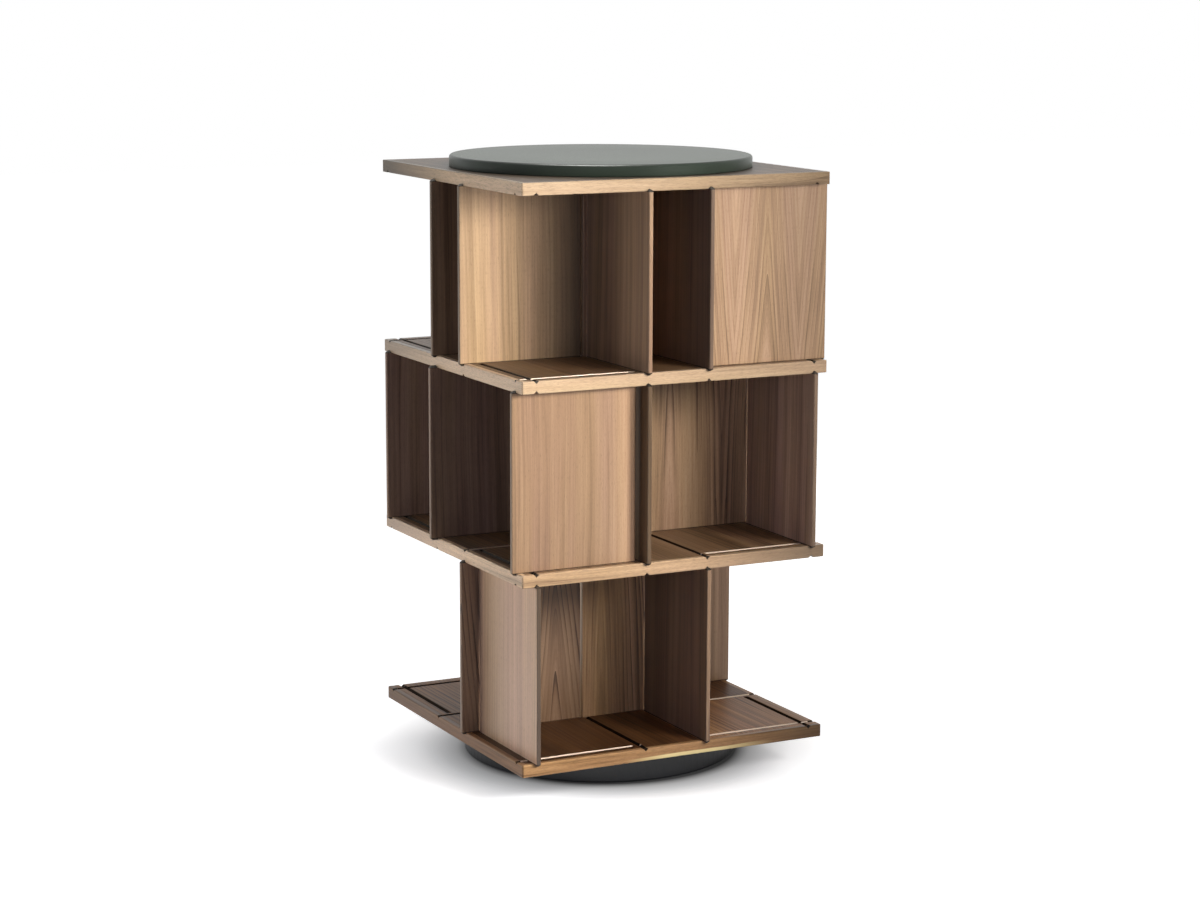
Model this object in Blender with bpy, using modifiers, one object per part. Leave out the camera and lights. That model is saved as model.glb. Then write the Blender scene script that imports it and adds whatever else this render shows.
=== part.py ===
"""Revolving bookcase: a stack of square walnut plates with loose dividers in V grooves.

The stack is clamped on a central rod round a square core and turns on a ball ring over a
low round plinth. A round leather-covered pad lies on the top plate. Metres, +Z up, with
the origin on the floor on the axis of rotation.
"""
import math

import bmesh
import bpy
from mathutils import Matrix, Vector

# Plates: square boards with a solid edging frame round each one
plate_side = 0.600
plate_thickness = 0.022
tier_clear_height = 0.312
edging_depth = 0.010
plate_corner_radius = 0.0035
plate_edge_ease = 0.0008

# V grooves that hold the dividers: the inner ones are measured from the middle of the
# plate, the outer ones from its edge
inner_groove_offset = 0.060
outer_groove_inset = 0.027
groove_depth = 0.005
outer_groove_start = 0.071

# Dividers: thin boards with a V tongue along the top and bottom edge
divider_overhang = 0.0085
divider_thickness = 0.008
divider_stop_clearance = 0.0005
tongue_flat_width = 0.0016
tongue_clearance = 0.0003
divider_end_radius = 0.0018
divider_corner_cut = 0.0045
proud_divider_pull = 0.005

# Core: four short boards in each tier round the clamping rod
core_wall_overhang = 0.003
rod_radius = 0.008
rod_top_stand = 0.0035
clamp_recess_radius = 0.017
clamp_recess_depth = 0.012
washer_radius = 0.015
washer_thickness = 0.002
nut_radius = 0.013
nut_height = 0.006
flange_radius = 0.060
flange_thickness = 0.004

# Leather-covered pad on the top plate
pad_radius = 0.273
pad_height = 0.021
leather_thickness = 0.0015
leather_edge_radius = 0.003
dowel_radius = 0.004
dowel_depth = 0.010
dowel_circle_radius = 0.180

# Plinth
plinth_radius = 0.250
plinth_top_height = 0.046
plinth_floor_gap = 0.002
plinth_edge_radius = 0.003
ballast_radius = 0.190
ballast_thickness = 0.008
floor_pad_radius = 0.242

# Swivel: two flat races with balls in a cage between them
swivel_height = 0.010
race_thickness = 0.002
race_width = 0.036
ball_circle_radius = 0.110
cage_thickness = 0.001
cage_width = 0.011
race_screw_inset = 0.006

# Screws
screw_radius = 0.00175
screw_head_radius = 0.0035
screw_head_height = 0.0016
screw_length = 0.012
ballast_screw_circle_radius = 0.150
flange_screw_circle_radius = 0.045

# Clearances: every piece keeps seat_gap to the piece that it rests on or in
seat_gap = 0.0003
cut_overrun = 0.001

# Counts
large_turn_steps = 96
small_turn_steps = 48
screw_turn_steps = 12
arc_steps = 3
ball_count = 16
screw_count = 4
dowel_count = 2
ball_segments = 8
ball_rings = 6
hexagon_sides = 6

# Heights that follow from the sizes above
bottom_plate_base = plinth_top_height + swivel_height
tier_pitch = plate_thickness + tier_clear_height
plate_names = ["bottom_plate", "lower_shelf", "upper_shelf", "top_plate"]
tier_names = ["bottom", "middle", "top"]
top_plate_index = len(plate_names) - 1
plate_bases = [bottom_plate_base + index * tier_pitch for index in range(len(plate_names))]
stack_top = plate_bases[top_plate_index] + plate_thickness

# Tongue: the groove and the tongue both slope at 45 degrees
tongue_chamfer = (divider_thickness - tongue_flat_width) / 2
tongue_reach = groove_depth - tongue_flat_width / 2 - tongue_clearance * math.sqrt(2)
divider_height = tier_clear_height + 2 * tongue_reach
outer_groove_offset = plate_side / 2 - outer_groove_inset
divider_inner_end = outer_groove_start + divider_stop_clearance
divider_length = plate_side / 2 + divider_overhang - divider_inner_end
half_long_wall = inner_groove_offset + divider_thickness / 2 + core_wall_overhang
half_short_wall = inner_groove_offset - divider_thickness / 2 - seat_gap

# Dividers in place, by tier: the side of the plate, the groove, and which one of the pair
arm_directions = {"left": (-1, 0), "right": (1, 0), "front": (0, -1), "back": (0, 1)}
groove_offsets = {"inner": inner_groove_offset, "outer": outer_groove_offset}
layout = {
    "bottom": [
        ("left", "inner", -1),
        ("front", "inner", 1),
        ("right", "inner", 1),
        ("back", "inner", -1),
        ("front", "outer", -1),
        ("back", "outer", 1),
    ],
    "middle": [
        ("left", "inner", 1),
        ("front", "inner", -1),
        ("right", "inner", -1),
        ("back", "inner", 1),
        ("left", "outer", -1),
        ("left", "outer", 1),
        ("front", "outer", 1),
        ("right", "outer", 1),
    ],
    "top": [
        ("left", "inner", -1),
        ("left", "inner", 1),
        ("front", "inner", -1),
        ("front", "inner", 1),
        ("right", "inner", -1),
        ("right", "inner", 1),
        ("back", "inner", -1),
        ("back", "inner", 1),
        ("right", "outer", -1),
        ("back", "outer", 1),
    ],
}
proud_divider = ("middle", "left", "inner", 1)

# The crown of a screw head is this share of its radius and height
screw_crown_share = 0.7

finishes = {
    "walnut_board": ((0.300, 0.185, 0.110), 0.45, 0.0),
    "walnut_edge": ((0.420, 0.270, 0.160), 0.45, 0.0),
    "walnut_divider": ((0.330, 0.205, 0.125), 0.45, 0.0),
    "walnut_core": ((0.260, 0.160, 0.095), 0.50, 0.0),
    "pad_board": ((0.420, 0.330, 0.220), 0.70, 0.0),
    "leather": ((0.100, 0.115, 0.102), 0.50, 0.0),
    "beech_dowel": ((0.560, 0.400, 0.240), 0.60, 0.0),
    "black_lacquer": ((0.012, 0.012, 0.013), 0.42, 0.0),
    "steel": ((0.420, 0.420, 0.430), 0.35, 1.0),
    "ballast_iron": ((0.060, 0.060, 0.062), 0.55, 1.0),
    "floor_rubber": ((0.030, 0.030, 0.030), 0.80, 0.0),
}


def clear_scene():
    for old in list(bpy.data.objects):
        bpy.data.objects.remove(old, do_unlink=True)


def make_collection(name):
    collection = bpy.data.collections.new(name)
    bpy.context.scene.collection.children.link(collection)
    return collection


def make_material(name):
    colour, roughness, metallic = finishes[name]
    material = bpy.data.materials.new(name)
    material.use_nodes = True
    shader = material.node_tree.nodes["Principled BSDF"]
    shader.inputs["Base Color"].default_value = (*colour, 1)
    shader.inputs["Roughness"].default_value = roughness
    shader.inputs["Metallic"].default_value = metallic
    material.diffuse_color = (*colour, 1)
    return material


def add_part(name, mesh, finish):
    """Put a mesh in the scene as one piece of the bookcase."""
    part = bpy.data.objects.new(name, mesh)
    parts_collection.objects.link(part)
    if not mesh.materials:
        mesh.materials.append(materials[finish])
    return part


def add_cutter(name, mesh):
    cutter = bpy.data.objects.new(name, mesh)
    cutters_collection.objects.link(cutter)
    cutter.hide_render = True
    cutter.display_type = "WIRE"
    return cutter


def combine(part, tool, operation="DIFFERENCE"):
    modifier = part.modifiers.new(operation.lower(), "BOOLEAN")
    modifier.operation = operation
    modifier.object = tool
    modifier.solver = "EXACT"


def mesh_from(name, build):
    """A mesh filled by a function that works on a bmesh."""
    working = bmesh.new()
    build(working)
    bmesh.ops.recalc_face_normals(working, faces=working.faces)
    mesh = bpy.data.meshes.new(name)
    working.to_mesh(mesh)
    working.free()
    return mesh


def add_box(working, low, high):
    """A box between two corners, and its new vertices."""
    low = Vector(low)
    high = Vector(high)
    size = high - low
    placed = Matrix.Translation((low + high) / 2) @ Matrix.Diagonal((*size, 1))
    return bmesh.ops.create_cube(working, size=1, matrix=placed)["verts"]


def add_cylinder(working, radius, low, high, centre=(0, 0), steps=small_turn_steps):
    placed = Matrix.Translation((*centre, (low + high) / 2))
    bmesh.ops.create_cone(
        working,
        cap_ends=True,
        segments=steps,
        radius1=radius,
        radius2=radius,
        depth=high - low,
        matrix=placed,
    )


def arc(centre, radius, start_degrees, end_degrees):
    """Points on a quarter circle or less, in the plane of a turned profile."""
    points = []
    for step in range(arc_steps + 1):
        angle = math.radians(start_degrees + (end_degrees - start_degrees) * step / arc_steps)
        points.append((centre[0] + radius * math.cos(angle), centre[1] + radius * math.sin(angle)))
    return points


def turned_mesh(name, profile, steps, ring=False):
    """Turn a profile of (radius, height) points, listed down its outer side, about Z."""
    working = bmesh.new()
    corners = [working.verts.new((radius, 0, height)) for radius, height in profile]
    for first, second in zip(corners, corners[1:]):
        working.edges.new((first, second))
    if ring:
        working.edges.new((corners[-1], corners[0]))
    outline = bpy.data.meshes.new(name + "_profile")
    working.to_mesh(outline)
    working.free()
    lathe = bpy.data.objects.new(name + "_lathe", outline)
    parts_collection.objects.link(lathe)
    screw = lathe.modifiers.new("turn", "SCREW")
    screw.steps = steps
    screw.render_steps = steps
    screw.use_merge_vertices = True
    screw.merge_threshold = 0.00001
    graph = bpy.context.evaluated_depsgraph_get()
    mesh = bpy.data.meshes.new_from_object(lathe.evaluated_get(graph))
    mesh.name = name
    bpy.data.objects.remove(lathe, do_unlink=True)
    mesh.shade_smooth()
    mesh.set_sharp_from_angle(angle=math.radians(30))
    return mesh


def ring_places(count, radius, turn_share=0.0):
    """Evenly spaced places on a circle; turn_share shifts them by part of a step."""
    places = []
    for index in range(count):
        angle = 2 * math.pi * (index + turn_share) / count
        places.append((radius * math.cos(angle), radius * math.sin(angle)))
    return places


def repeated_mesh(name, mesh, places, height, flipped=False):
    """Copies of one mesh at several places, turned over where they point upwards."""
    working = bmesh.new()
    for x, y in places:
        first_new = len(working.verts)
        working.from_mesh(mesh)
        working.verts.ensure_lookup_table()
        turn = Matrix.Rotation(math.pi, 4, "X") if flipped else Matrix.Identity(4)
        placed = Matrix.Translation((x, y, height)) @ turn
        bmesh.ops.transform(working, matrix=placed, verts=working.verts[first_new:])
    result = bpy.data.meshes.new(name)
    working.to_mesh(result)
    working.free()
    result.shade_smooth()
    result.set_sharp_from_angle(angle=math.radians(30))
    return result


def hole_cutter(name, radius, low, high, places, steps=small_turn_steps):
    def build(working):
        for place in places:
            add_cylinder(working, radius, low, high, place, steps)

    return add_cutter(name, mesh_from(name, build))


def screw_mesh(name):
    """A pan-head screw that points down, sunk a little into the seat at height zero."""
    profile = [
        (0, screw_head_height),
        (screw_head_radius * screw_crown_share, screw_head_height),
        (screw_head_radius, screw_head_height * screw_crown_share),
        (screw_head_radius, -seat_gap),
        (screw_radius, -seat_gap),
        (screw_radius, screw_radius - screw_length),
        (0, -screw_length),
    ]
    return turned_mesh(name, profile, screw_turn_steps)


def join_screws(part, places, seat_height, flipped):
    """Join a ring of screws to the piece they hold; their heads bear on seat_height."""
    name = part.name + "_screws"
    mesh = repeated_mesh(name, screw_mesh(name + "_one"), places, seat_height, flipped)
    combine(part, add_cutter(name, mesh), "UNION")


def bore_for_screws(carrier, name, places, seat_height, flipped):
    """Holes in the carrier for the shanks of join_screws with the same values."""
    deep_end = screw_length + seat_gap
    low = seat_height - (0 if flipped else deep_end)
    high = seat_height + (deep_end if flipped else 0)
    shank_hole = screw_radius + seat_gap
    combine(carrier, hole_cutter(name, shank_hole, low, high, places, screw_turn_steps))


def groove_bars(name, along_x):
    """Square bars set on edge that cut one face's grooves in one direction."""
    plate_end = plate_side / 2 + cut_overrun
    half_diagonal = groove_depth + cut_overrun
    bar_side = half_diagonal * math.sqrt(2)
    spans = []
    for side in (-1, 1):
        spans.append((side * inner_groove_offset, -plate_end, plate_end))
        for end in (-1, 1):
            near, far = sorted((end * outer_groove_start, end * plate_end))
            spans.append((side * outer_groove_offset, near, far))

    def build(working):
        for offset, start, end in spans:
            shape = Matrix.Diagonal((end - start, bar_side, bar_side, 1))
            on_edge = Matrix.Rotation(math.radians(45), 4, "X")
            place = Matrix.Translation(((start + end) / 2, offset, 0))
            turn = Matrix.Identity(4) if along_x else Matrix.Rotation(math.radians(90), 4, "Z")
            placed = turn @ place @ on_edge @ shape
            bmesh.ops.create_cube(working, size=1, matrix=placed)

    return mesh_from(name, build)


def add_groove_cutters(plate_index):
    """The cutters of one plate: its upper face, its lower face or both."""
    name = plate_names[plate_index]
    base = plate_bases[plate_index]
    faces = []
    if plate_index < top_plate_index:
        faces.append(("upper", base + plate_thickness + cut_overrun))
    if plate_index > 0:
        faces.append(("lower", base - cut_overrun))
    cutters = []
    for face, height in faces:
        for direction, mesh in groove_meshes.items():
            cutter = add_cutter(f"{name}_{face}_grooves_{direction}", mesh)
            cutter.location.z = height
            cutters.append(cutter)
    return cutters


def edging_mesh(name):
    """The outer shape of a plate, with rounded corners, before its middle is cut out."""
    half = plate_side / 2

    def build(working):
        add_box(working, (-half, -half, 0), (half, half, plate_thickness))
        upright = [edge for edge in working.edges if edge.verts[0].co.z != edge.verts[1].co.z]
        bmesh.ops.bevel(
            working,
            geom=upright,
            offset=plate_corner_radius,
            segments=arc_steps,
            profile=0.5,
            affect="EDGES",
        )

    return mesh_from(name, build)


def add_plate(plate_index):
    """One plate: its board and the edging frame round it, with their grooves and bore."""
    name = plate_names[plate_index]
    base = plate_bases[plate_index]
    board_half = plate_side / 2 - edging_depth - seat_gap
    opening_half = plate_side / 2 - edging_depth

    def build_board(working):
        low = (-board_half, -board_half, 0)
        high = (board_half, board_half, plate_thickness)
        add_box(working, low, high)

    def build_opening(working):
        low = (-opening_half, -opening_half, -cut_overrun)
        high = (opening_half, opening_half, plate_thickness + cut_overrun)
        add_box(working, low, high)

    board = add_part(name, mesh_from(name, build_board), "walnut_board")
    edging = add_part(name + "_edging", edging_mesh(name + "_edging"), "walnut_edge")
    opening = add_cutter(name + "_opening", mesh_from(name + "_opening", build_opening))
    for piece in (board, edging, opening):
        piece.location.z = base
    ease = edging.modifiers.new("ease", "BEVEL")
    ease.width = plate_edge_ease
    ease.segments = 1
    ease.limit_method = "ANGLE"
    ease.angle_limit = math.radians(60)
    combine(edging, opening)
    for cutter in add_groove_cutters(plate_index):
        combine(board, cutter)
        combine(edging, cutter)
    bore_radius = rod_radius + seat_gap
    bore_low = base - cut_overrun
    bore_high = base + plate_thickness + cut_overrun
    combine(board, hole_cutter(name + "_bore", bore_radius, bore_low, bore_high, [(0, 0)]))
    return board


def tongued_board_mesh(name, length, corner_cut, end_radius):
    """A board on edge from X zero to its length, with a V tongue at its top and bottom."""
    half_height = divider_height / 2
    half_thickness = divider_thickness / 2

    def build(working):
        low = (0, -half_thickness, -half_height)
        high = (length, half_thickness, half_height)
        add_box(working, low, high)
        if corner_cut:
            tips = [
                edge
                for edge in working.edges
                if min(corner.co.x for corner in edge.verts) > length / 2
                and abs(edge.verts[0].co.y - edge.verts[1].co.y) > half_thickness
            ]
            bmesh.ops.bevel(
                working, geom=tips, offset=corner_cut, segments=1, profile=0.5, affect="EDGES"
            )
        ridges = [
            edge
            for edge in working.edges
            if abs(edge.verts[0].co.x - edge.verts[1].co.x) > length / 2
            and edge.verts[0].co.z == edge.verts[1].co.z
        ]
        bmesh.ops.bevel(
            working, geom=ridges, offset=tongue_chamfer, segments=1, profile=0.5, affect="EDGES"
        )
        if end_radius:
            ends = [
                edge
                for edge in working.edges
                if abs(edge.verts[0].co.z - edge.verts[1].co.z) > half_height
            ]
            bmesh.ops.bevel(
                working, geom=ends, offset=end_radius, segments=2, profile=0.5, affect="EDGES"
            )

    return mesh_from(name, build)


def divider_name(tier, arm, groove, side):
    """Such as divider_top_left_inner_front: the tier, the side of the plate, the groove."""
    if arm in ("left", "right"):
        place = "front" if side < 0 else "back"
    else:
        place = "left" if side < 0 else "right"
    return f"divider_{tier}_{arm}_{groove}_{place}"


def add_divider(tier, arm, groove, side):
    direction_x, direction_y = arm_directions[arm]
    offset = side * groove_offsets[groove]
    reach = divider_inner_end
    if (tier, arm, groove, side) == proud_divider:
        reach += proud_divider_pull
    divider = add_part(divider_name(tier, arm, groove, side), divider_shape, "walnut_divider")
    divider.location = (
        direction_x * reach + abs(direction_y) * offset,
        direction_y * reach + abs(direction_x) * offset,
        tier_middles[tier],
    )
    divider.rotation_euler.z = math.atan2(direction_y, direction_x)


def add_core_walls(tier):
    """The long walls lie in the grooves along X and the short ones stand between them."""
    for side, place in ((-1, "front"), (1, "back")):
        wall = add_part(f"core_wall_{tier}_{place}", long_core_wall, "walnut_core")
        wall.location = (-half_long_wall, side * inner_groove_offset, tier_middles[tier])
    for side, place in ((-1, "left"), (1, "right")):
        wall = add_part(f"core_wall_{tier}_{place}", short_core_wall, "walnut_core")
        wall.location = (side * inner_groove_offset, -half_short_wall, tier_middles[tier])
        wall.rotation_euler.z = math.radians(90)


def add_clamp(bottom_board, top_board):
    """The rod through the stack, its flange below and its washer and nut in a recess."""
    flange_top = bottom_plate_base - seat_gap
    flange_base = flange_top - flange_thickness
    recess_floor = stack_top - clamp_recess_depth
    washer_base = recess_floor + seat_gap
    nut_base = washer_base + washer_thickness + seat_gap
    rod_top = nut_base + nut_height + rod_top_stand
    rod_hole = rod_radius + seat_gap

    rod_profile = [(0, rod_top), (rod_radius, rod_top), (rod_radius, flange_base), (0, flange_base)]
    add_part("tie_rod", turned_mesh("tie_rod", rod_profile, small_turn_steps), "steel")

    washer_profile = [
        (washer_radius, washer_base + washer_thickness),
        (washer_radius, washer_base),
        (rod_hole, washer_base),
        (rod_hole, washer_base + washer_thickness),
    ]
    washer = turned_mesh("clamp_washer", washer_profile, small_turn_steps, ring=True)
    add_part("clamp_washer", washer, "steel")

    nut = mesh_from(
        "clamp_nut",
        lambda working: add_cylinder(
            working, nut_radius, nut_base, nut_base + nut_height, (0, 0), hexagon_sides
        ),
    )
    nut_part = add_part("clamp_nut", nut, "steel")
    nut_low = nut_base - cut_overrun
    nut_high = nut_base + nut_height + cut_overrun
    combine(nut_part, hole_cutter("clamp_nut_bore", rod_hole, nut_low, nut_high, [(0, 0)]))

    recess_top = stack_top + cut_overrun
    recess = hole_cutter(
        "clamp_recess", clamp_recess_radius, recess_floor, recess_top, [(0, 0)]
    )
    combine(top_board, recess)

    flange_profile = [
        (flange_radius, flange_top),
        (flange_radius, flange_base),
        (rod_hole, flange_base),
        (rod_hole, flange_top),
    ]
    flange_mesh = turned_mesh("bottom_flange", flange_profile, small_turn_steps, ring=True)
    flange = add_part("bottom_flange", flange_mesh, "steel")
    places = ring_places(screw_count, flange_screw_circle_radius, 0.5)
    join_screws(flange, places, flange_base, flipped=True)
    bore_for_screws(bottom_board, "flange_screw_holes", places, flange_base, flipped=True)


def add_pad(top_board):
    """The round board, the leather drawn over it and the dowels that hold it in place."""
    cover_top = stack_top + pad_height
    cover_base = stack_top + seat_gap
    inner_radius = pad_radius - leather_thickness
    inner_top = cover_top - leather_thickness
    round_centre = (pad_radius - leather_edge_radius, cover_top - leather_edge_radius)
    cover_profile = [(0, cover_top)]
    cover_profile += arc(round_centre, leather_edge_radius, 90, 0)
    cover_profile += [(pad_radius, cover_base), (inner_radius, cover_base)]
    cover_profile += arc(round_centre, leather_edge_radius - leather_thickness, 0, 90)
    cover_profile += [(0, inner_top)]
    cover = turned_mesh("leather_cover", cover_profile, large_turn_steps)
    add_part("leather_cover", cover, "leather")

    board_radius = inner_radius - seat_gap
    board_top = inner_top - seat_gap
    ease = leather_edge_radius - leather_thickness
    board_profile = [
        (0, board_top),
        (board_radius - ease, board_top),
        (board_radius, board_top - ease),
        (board_radius, cover_base),
        (0, cover_base),
    ]
    board = add_part(
        "pad_board", turned_mesh("pad_board", board_profile, small_turn_steps), "pad_board"
    )
    places = ring_places(dowel_count, dowel_circle_radius)

    low = stack_top - dowel_depth
    high = stack_top + dowel_depth
    for place, side in zip(places, ("right", "left")):

        def build_dowel(working, place=place):
            add_cylinder(working, dowel_radius, low, high, place, screw_turn_steps)

        dowel_name = "pad_dowel_" + side
        add_part(dowel_name, mesh_from(dowel_name, build_dowel), "beech_dowel")
    hole_low = low - seat_gap
    hole_high = high + seat_gap
    hole_radius = dowel_radius + seat_gap
    holes = hole_cutter(
        "dowel_holes", hole_radius, hole_low, hole_high, places, screw_turn_steps
    )
    combine(board, holes)
    combine(top_board, holes)


def add_plinth():
    """The round black foot, the ballast plate let into its underside and its rubber pad."""
    base = plinth_floor_gap
    top = plinth_top_height
    edge = plinth_edge_radius
    pocket_radius = ballast_radius + seat_gap
    pocket_top = base + ballast_thickness + seat_gap
    profile = [(0, top)]
    profile += arc((plinth_radius - edge, top - edge), edge, 90, 0)
    profile += arc((plinth_radius - edge, base + edge), edge, 0, -90)
    profile += [(pocket_radius, base), (pocket_radius, pocket_top), (0, pocket_top)]
    disc = add_part(
        "plinth_disc", turned_mesh("plinth_disc", profile, large_turn_steps), "black_lacquer"
    )
    plate_profile = [
        (0, base + ballast_thickness),
        (ballast_radius, base + ballast_thickness),
        (ballast_radius, base),
        (0, base),
    ]
    ballast = add_part(
        "ballast_plate",
        turned_mesh("ballast_plate", plate_profile, small_turn_steps),
        "ballast_iron",
    )

    places = ring_places(screw_count, ballast_screw_circle_radius, 0.5)
    seat = base + screw_head_height + seat_gap
    heads = hole_cutter(
        "ballast_screw_recesses",
        screw_head_radius + seat_gap,
        base - cut_overrun,
        seat,
        places,
        screw_turn_steps,
    )
    combine(ballast, heads)
    join_screws(ballast, places, seat, flipped=True)
    bore_for_screws(disc, "ballast_screw_holes", places, seat, flipped=True)

    pad_profile = [
        (0, base - seat_gap),
        (floor_pad_radius, base - seat_gap),
        (floor_pad_radius, 0),
        (0, 0),
    ]
    add_part("floor_pad", turned_mesh("floor_pad", pad_profile, small_turn_steps), "floor_rubber")
    return disc


def add_race(name, low, screw_circle_radius, seat_height, flipped, carrier):
    """One flat race of the swivel with its screws, and their holes in its carrier."""
    high = low + race_thickness
    inner = ball_circle_radius - race_width / 2
    outer = ball_circle_radius + race_width / 2
    profile = [(outer, high), (outer, low), (inner, low), (inner, high)]
    race = add_part(name, turned_mesh(name, profile, small_turn_steps, ring=True), "steel")
    places = ring_places(screw_count, screw_circle_radius)
    join_screws(race, places, seat_height, flipped)
    bore_for_screws(carrier, name + "_screw_holes", places, seat_height, flipped)


def add_swivel(plinth, bottom_board):
    """The ball ring on which the whole stack turns."""
    lower_base = plinth_top_height + seat_gap
    lower_top = lower_base + race_thickness
    upper_base = bottom_plate_base - seat_gap - race_thickness
    ball_diameter = upper_base - lower_top - 2 * seat_gap
    ball_height = lower_top + seat_gap + ball_diameter / 2
    outer_screws = ball_circle_radius + race_width / 2 - race_screw_inset
    inner_screws = ball_circle_radius - race_width / 2 + race_screw_inset
    add_race("swivel_lower_race", lower_base, outer_screws, lower_top, False, plinth)
    add_race("swivel_upper_race", upper_base, inner_screws, upper_base, True, bottom_board)

    def build_balls(working):
        for x, y in ring_places(ball_count, ball_circle_radius):
            bmesh.ops.create_uvsphere(
                working,
                u_segments=ball_segments,
                v_segments=ball_rings,
                radius=ball_diameter / 2,
                matrix=Matrix.Translation((x, y, ball_height)),
            )

    cage_low = ball_height - cage_thickness / 2
    cage_high = ball_height + cage_thickness / 2
    cage_outer = ball_circle_radius + cage_width / 2
    cage_inner = ball_circle_radius - cage_width / 2
    profile = [
        (cage_outer, cage_high),
        (cage_outer, cage_low),
        (cage_inner, cage_low),
        (cage_inner, cage_high),
    ]
    cage_mesh = turned_mesh("swivel_ball_cage", profile, small_turn_steps, ring=True)
    cage = add_part("swivel_ball_cage", cage_mesh, "steel")
    combine(cage, add_cutter("swivel_balls", mesh_from("swivel_balls", build_balls)), "UNION")


clear_scene()
parts_collection = make_collection("revolving_bookcase")
cutters_collection = make_collection("cutters")
materials = {name: make_material(name) for name in finishes}
groove_meshes = {"x": groove_bars("grooves_x", True), "y": groove_bars("grooves_y", False)}
tier_middles = {
    tier: plate_bases[index] + plate_thickness + tier_clear_height / 2
    for index, tier in enumerate(tier_names)
}

long_core_wall = tongued_board_mesh("core_wall_long", 2 * half_long_wall, 0, 0)
short_core_wall = tongued_board_mesh("core_wall_short", 2 * half_short_wall, 0, 0)
divider_shape = tongued_board_mesh(
    "divider", divider_length, divider_corner_cut, divider_end_radius
)

plinth_part = add_plinth()
boards = [add_plate(index) for index in range(len(plate_names))]
add_swivel(plinth_part, boards[0])
add_clamp(boards[0], boards[top_plate_index])
for tier_name in tier_names:
    add_core_walls(tier_name)
for tier_name, places_in_tier in layout.items():
    for arm_name, groove_name, pair_side in places_in_tier:
        add_divider(tier_name, arm_name, groove_name, pair_side)
add_pad(boards[top_plate_index])
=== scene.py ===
"""Looks of the revolving bookcase: walnut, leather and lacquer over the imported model.

Each piece of walnut has its own figure, worked out as rings round a heart line, so that
the grain runs through the solid and meets at its edges. Metres, +Z up; the bookcase
stands on the floor at the origin, and its front faces -Y.
"""

import math

import bmesh
import bpy
from mathutils import Matrix, Vector


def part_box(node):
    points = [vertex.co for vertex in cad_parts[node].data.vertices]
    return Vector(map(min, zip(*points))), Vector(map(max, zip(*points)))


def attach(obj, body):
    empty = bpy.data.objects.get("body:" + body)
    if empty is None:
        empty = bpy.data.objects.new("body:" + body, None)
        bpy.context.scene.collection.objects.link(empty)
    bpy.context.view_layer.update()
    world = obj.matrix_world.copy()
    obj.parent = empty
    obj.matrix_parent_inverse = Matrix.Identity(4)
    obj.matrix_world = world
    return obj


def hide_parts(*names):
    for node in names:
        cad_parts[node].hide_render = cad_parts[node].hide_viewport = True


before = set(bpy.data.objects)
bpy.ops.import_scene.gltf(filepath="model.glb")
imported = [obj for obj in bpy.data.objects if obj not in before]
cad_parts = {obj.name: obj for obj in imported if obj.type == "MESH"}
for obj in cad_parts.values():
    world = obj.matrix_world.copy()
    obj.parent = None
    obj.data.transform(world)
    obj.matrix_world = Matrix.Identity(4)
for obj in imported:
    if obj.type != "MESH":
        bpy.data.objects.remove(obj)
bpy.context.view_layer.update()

# Camera, at the photograph's place and angle
camera_place = Vector((-2.2967, -4.5058, 1.4505))
camera_yaw_degrees = 27.012
camera_pitch_degrees = -9.99
camera_roll_degrees = 0.166
camera_lens_mm = 84.04
camera_sensor_mm = 36.0

# Studio: a white floor with the bookcase's cast shadow and a painted contact shadow, and a white
# world
floor_half_side = 14.0
floor_subdivisions = 8
floor_seen_tone = 0.90
floor_bounce_tone = 0.40
floor_glow = 0.66
floor_shadow_start = 0.30
floor_shadow_end = 0.52
background_white = 1.0
ambient_strength = 0.018

# Painted contact shadow round the plinth: how far out, and how much of the floor's white is left
contact_centre = (0.005, -0.006)
painted_contact_shadow = ((0.246, 0.04), (0.272, 0.36), (0.305, 0.56), (0.350, 0.80), (0.430, 1.00))

# Lamps are flat panels that the camera doesn't see, with their power in watts
lamps = {
    "key": {
        "place": (0.62, -1.95, 1.24),
        "width": 1.1,
        "height": 0.6,
        "power": 22.0,
        "colour": (1.0, 0.985, 0.98),
        "aim": (-1.02, -0.2, 0.55),
        "spread_degrees": 71,
    },
    "rim": {
        "place": (-2.30, 1.20, 0.66),
        "width": 0.8,
        "height": 0.5,
        "power": 3.2,
        "colour": (0.97, 0.98, 1.0),
        "aim": (-0.3, -0.1, 0.60),
        "spread_degrees": 55,
    },
    "fill": {
        "place": (-3.1, -2.9, 0.90),
        "width": 3.2,
        "height": 1.6,
        "power": 19.0,
        "colour": (0.60, 0.67, 1.0),
        "aim": (0.1, -0.2, 0.50),
        "spread_degrees": 120,
    },
    "back": {
        "place": (2.6, 2.0, 1.30),
        "width": 2.2,
        "height": 1.6,
        "power": 22.0,
        "colour": (1.0, 0.97, 0.94),
        "aim": (0.1, 0.1, 0.40),
        "spread_degrees": 120,
    },
    "edge_gloss": {
        "place": (-0.4, -0.2, 3.6),
        "width": 1.6,
        "height": 1.0,
        "power": 260.0,
        "colour": (1.0, 1.0, 0.97),
        "aim": (0.0, 0.0, 0.60),
        "spread_degrees": 180,
        "gloss_only": True,
    },
}

# How far the grooves lie from the middle of the case, and how deep dividers stand in them
inner_groove = 0.060
outer_groove = 0.273
seated_height = 0.0048

# Painted shade: grooves darken from just under the plate's face to their bottom, where they
# are dull too; dividers get the same painted shade in the part that stands in a groove
groove_shade_start = 0.00005
groove_shade_end = 0.0005
groove_rim_margin = 0.0009
groove_bottom_level = 0.08
groove_dull_level = 0.6
groove_roughness = 0.9
seat_shade_height = 0.0006
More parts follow.
